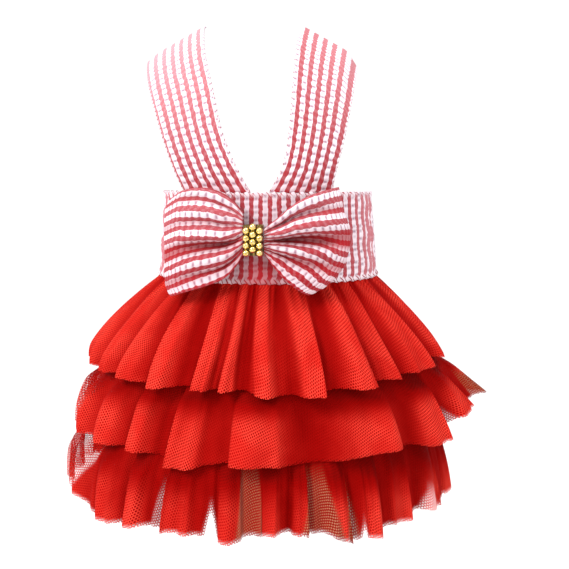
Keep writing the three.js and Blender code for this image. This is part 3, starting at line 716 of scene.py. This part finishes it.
def tint(name, description, code):
    """Settings of a colour property that starts at an sRGB hex code."""
    return dict(name=name, description=description, subtype="COLOR", size=4, min=0, max=1, default=linear(code))


class SeersuckerLook(bpy.types.PropertyGroup):
    """Colours and stripe of the cotton"""
    stripe: bpy.props.FloatProperty(
        name="Stripe", description="One red and one white stripe", default=0.0062, min=0.001, unit="LENGTH"
    )
    red: bpy.props.FloatVectorProperty(**tint("Red", "Red yarn", "960d1a"))
    red_light: bpy.props.FloatVectorProperty(**tint("Red, light", "Where white yarn crosses the red", "a83c48"))
    # Painted light: the pale red that the stripes are painted towards where light pales them.
    red_pale: bpy.props.FloatVectorProperty(**tint("Red, faded", "Red on the straps' upper part", "d48c95"))
    white: bpy.props.FloatVectorProperty(**tint("White", "White yarn", "e8dae1"))
    # Painted shade: the grey that the white is painted in the pucker hollows.
    dimple: bpy.props.FloatVectorProperty(**tint("Dimple", "Hollows of the puckers", "86526a"))
    # Painted shade, tinted red: the colour that deep creases are painted towards.
    hollow: bpy.props.FloatVectorProperty(**tint("Hollow", "Deep in a crease, where red light gathers", "9c0c14"))
    stitch: bpy.props.FloatVectorProperty(**tint("Stitch", "Sewing thread on the edges", "8c0c16"))


class TulleLook(bpy.types.PropertyGroup):
    """Colours and cell of the net"""
    net_cell: bpy.props.FloatProperty(
        name="Net cell", description="From hole to hole of the net", default=0.0014, min=0.0005, unit="LENGTH"
    )
    thread: bpy.props.FloatVectorProperty(**tint("Thread", "Single threads in the light", "ee4536"))
    # Painted light and shade: face is the net painted lit, valley the net painted in shade, also behind the holes, and
    # under the net painted in the shade of the tier above.
    face: bpy.props.FloatVectorProperty(**tint("Face", "Net where a fold faces out", "b00806"))
    valley: bpy.props.FloatVectorProperty(**tint("Valley", "Net between folds and behind holes", "800201"))
    under: bpy.props.FloatVectorProperty(**tint("Under", "Net in the shade of the tier above", "6a0201"))
    # Painted shade: the colour that the holes in the thin places are painted, as if shaded net lay behind.
    window: bpy.props.FloatVectorProperty(**tint("Window", "Seen through one thin layer", "b07c54"))


class BeadLook(bpy.types.PropertyGroup):
    """Metals of the beads and of the braid under them"""
    gold: bpy.props.FloatVectorProperty(**tint("Gold", "Plating", "ecdc98"))
    gold_deep: bpy.props.FloatVectorProperty(**tint("Gold, deep", "Plating where it is dented", "c8a850"))
    braid: bpy.props.FloatVectorProperty(**tint("Braid", "Metallic yarn under the beads", "9c8448"))
    braid_gap: bpy.props.FloatVectorProperty(**tint("Braid gap", "Between the yarns", "4a3818"))


class StageLook(bpy.types.PropertyGroup):
    """Floor and light"""
    floor: bpy.props.FloatVectorProperty(**tint("Floor", "Paper floor", "ffffff"))
    floor_drop: bpy.props.FloatProperty(
        name="Floor below the waist", description="How far the floor lies under the frame's origin",
        default=0.52, min=0, unit="LENGTH",
    )
    sky: bpy.props.FloatProperty(
        name="Room light", description="Even white light from all round", default=1.06, min=0
    )
    key: bpy.props.FloatProperty(
        name="Key light", description="Large soft light from the front and above", default=13.0, min=0, unit="POWER"
    )


class DRESS_OT_stage(bpy.types.Operator):
    """Pale floor, soft light and the camera"""
    bl_idname = "dress.stage"
    bl_label = "Stage"

    def execute(self, context):
        look = context.scene.dress_stage
        spread = 6.0
        mesh = bpy.data.meshes.new("floor")
        low = -look.floor_drop
        corners = [(-spread, -spread, low), (spread, -spread, low), (spread, spread, low), (-spread, spread, low)]
        mesh.from_pydata(corners, [], [(0, 1, 2, 3)])
        mesh.materials.append(floor_material(look))
        floor = bpy.data.objects.new("floor", mesh)
        context.scene.collection.objects.link(floor)
        world = bpy.data.worlds.new("soft_room")
        world.use_nodes = True
        world.node_tree.nodes["Background"].inputs["Color"].default_value = (1, 1, 1, 1)
        world.node_tree.nodes["Background"].inputs["Strength"].default_value = look.sky
        context.scene.world = world
        for name, place, size, power in (
            ("key", (-0.75, -0.85, 0.75), 0.5, look.key),
            ("top", (0.35, -0.25, 1.1), 0.5, look.key * 0.45),
        ):
            data = bpy.data.lights.new(name, "AREA")
            data.size = size
            data.energy = power
            light = bpy.data.objects.new(name, data)
            light.location = place
            light.rotation_mode = "QUATERNION"
            light.rotation_quaternion = (Vector((0, 0, -0.03)) - Vector(place)).to_track_quat("-Z", "Y")
            context.scene.collection.objects.link(light)
        azimuth, elevation = math.radians(4), math.radians(8)
        level = math.cos(elevation)
        back = Vector((math.sin(azimuth) * level, -math.cos(azimuth) * level, math.sin(elevation)))
        camera = bpy.data.cameras.new("photo_view")
        camera.angle = math.radians(32)
        view = bpy.data.objects.new("photo_view", camera)
        view.rotation_mode = "QUATERNION"
        aim, distance = Vector((0.01152, 0.00081, -0.037)), 0.69452
        view.location = aim + back * distance
        view.rotation_quaternion = back.to_track_quat("Z", "Y")
        context.scene.collection.objects.link(view)
        context.scene.camera = view
        context.scene.view_settings.view_transform = "Standard"
        return {"FINISHED"}


class DRESS_OT_skirt(bpy.types.Operator):
    """Three gathered tiers of net"""
    bl_idname = "dress.skirt"
    bl_label = "Net skirt"

    def execute(self, context):
        tulle = tulle_material(context.scene.dress_tulle)
        for order, tier in enumerate(TIERS):
            points, cloth, values = tier_grid(order)
            piece = surface(tier["name"].replace("tier", "tulle"), points, cloth, tulle, round_=True, **values)
            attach(piece, "root")
            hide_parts(tier["name"])
        return {"FINISHED"}


class DRESS_OT_band(bpy.types.Operator):
    """Striped chest band with rolled edges"""
    bl_idname = "dress.band"
    bl_label = "Chest band"

    def execute(self, context):
        look = context.scene.dress_seersucker
        stripe = look.stripe / MM
        points, cloth, values = band_grid(stripe)
        band = surface("seersucker_band", points, cloth, cotton(look), round_=True, thickness=BAND_WALL, **values)
        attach(band, "root")
        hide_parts("chest_band")
        return {"FINISHED"}


class DRESS_OT_straps(bpy.types.Operator):
    """Two striped shoulder straps"""
    bl_idname = "dress.straps"
    bl_label = "Straps"

    def execute(self, context):
        look = context.scene.dress_seersucker
        for name, strap in STRAPS.items():
            points, cloth, values = strap_grid(strap, look.stripe / MM)
            piece = surface("seersucker_" + name, points, cloth, cotton(look), thickness=STRAP_WALL, **values)
            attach(piece, "root")
            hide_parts(name)
        return {"FINISHED"}


class DRESS_OT_bow(bpy.types.Operator):
    """Bow of two folded loops"""
    bl_idname = "dress.bow"
    bl_label = "Bow"

    def execute(self, context):
        look = context.scene.dress_seersucker
        for name, loop in LOOPS.items():
            points, cloth, values = loop_grid(loop, look.stripe / MM)
            piece = surface("seersucker_" + name, points, cloth, cotton(look), thickness=LOOP_WALL, **values)
            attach(piece, "root")
            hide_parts(name)
        return {"FINISHED"}


class DRESS_OT_knot(bpy.types.Operator):
    """Knot cloth and its gold beads"""
    bl_idname = "dress.knot"
    bl_label = "Knot and beads"

    def execute(self, context):
        u, v = grid(96, 40)
        angle = TURN * u
        # A power below 1 squares the ring's corners.
        corner = 0.42
        wide = np.sign(np.sin(angle)) * np.abs(np.sin(angle)) ** corner
        deep = np.sign(np.cos(angle)) * np.abs(np.cos(angle)) ** corner
        front = KNOT_FRONT - 0.6
        pinch = 1 - 0.1 * np.cos(TURN * (v - 0.5)) - 0.04
        gathers = 0.22 * np.cos(TURN * 9 * u)
        x = (KNOT_WIDTH / 2 - 0.5) * wide * pinch + gathers * np.sin(angle)
        y = -np.where(deep > 0, front, KNOT_BACK) * deep - gathers * np.cos(angle)
        z = mix(-KNOT_HEIGHT / 2, KNOT_HEIGHT / 2, v)
        points = np.stack([x, y, z], -1) + np.array(BOW_PLACE)
        cloth = np.stack([u * KNOT_CLOTH_LENGTH, v * KNOT_HEIGHT], -1)
        braid = braid_material(context.scene.dress_beads)
        knot = surface("braid_knot", points, cloth, braid, round_=True, thickness=KNOT_WALL)
        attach(knot, "root")
        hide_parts("bow_knot")
        gold = gold_material(context.scene.dress_beads)
        for column in range(BEAD_COLUMNS):
            for row in range(BEAD_ROWS):
                lift = BEAD_ROW_PITCH / 2 if column % 2 else 0
                middle = np.array(BOW_PLACE) + np.array([
                    (column - (BEAD_COLUMNS - 1) / 2) * BEAD_COLUMN_PITCH,
                    -KNOT_FRONT - BEAD_DIAMETER / 2 - JOIN_GAP,
                    ((BEAD_ROWS - 1) / 2 - row) * BEAD_ROW_PITCH + lift - BEAD_DROP,
                ])
                bead = ball(f"gold_bead_{column + 1}_{row + 1}", middle, BEAD_DIAMETER / 2, gold)
                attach(bead, "root")
                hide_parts(f"bead_{column + 1}_{row + 1}")
        return {"FINISHED"}


OPERATORS = (DRESS_OT_stage, DRESS_OT_band, DRESS_OT_straps, DRESS_OT_bow, DRESS_OT_knot, DRESS_OT_skirt)
LOOKS = dict(dress_seersucker=SeersuckerLook, dress_tulle=TulleLook, dress_beads=BeadLook, dress_stage=StageLook)


class DRESS_PT_panel(bpy.types.Panel):
    """Lists the dress's pieces and looks"""
    bl_idname = "DRESS_PT_panel"
    bl_label = "Dress"
    bl_space_type = "VIEW_3D"
    bl_region_type = "UI"
    bl_category = "Dress"

    def draw(self, context):
        for operator in OPERATORS:
            self.layout.operator(operator.bl_idname)
        for name, look in LOOKS.items():
            box = self.layout.box()
            for key in look.__annotations__:
                box.prop(getattr(context.scene, name), key)


def register():
    for item in (*LOOKS.values(), *OPERATORS, DRESS_PT_panel):
        bpy.utils.register_class(item)
    for name, look in LOOKS.items():
        setattr(bpy.types.Scene, name, bpy.props.PointerProperty(type=look))


def unregister():
    for name in LOOKS:
        delattr(bpy.types.Scene, name)
    for item in reversed((*LOOKS.values(), *OPERATORS, DRESS_PT_panel)):
        bpy.utils.unregister_class(item)


def main():
    register()
    bpy.ops.dress.stage()
    bpy.ops.dress.band()
    bpy.ops.dress.straps()
    bpy.ops.dress.bow()
    bpy.ops.dress.knot()
    bpy.ops.dress.skirt()


if __name__ == "__main__":
    main()
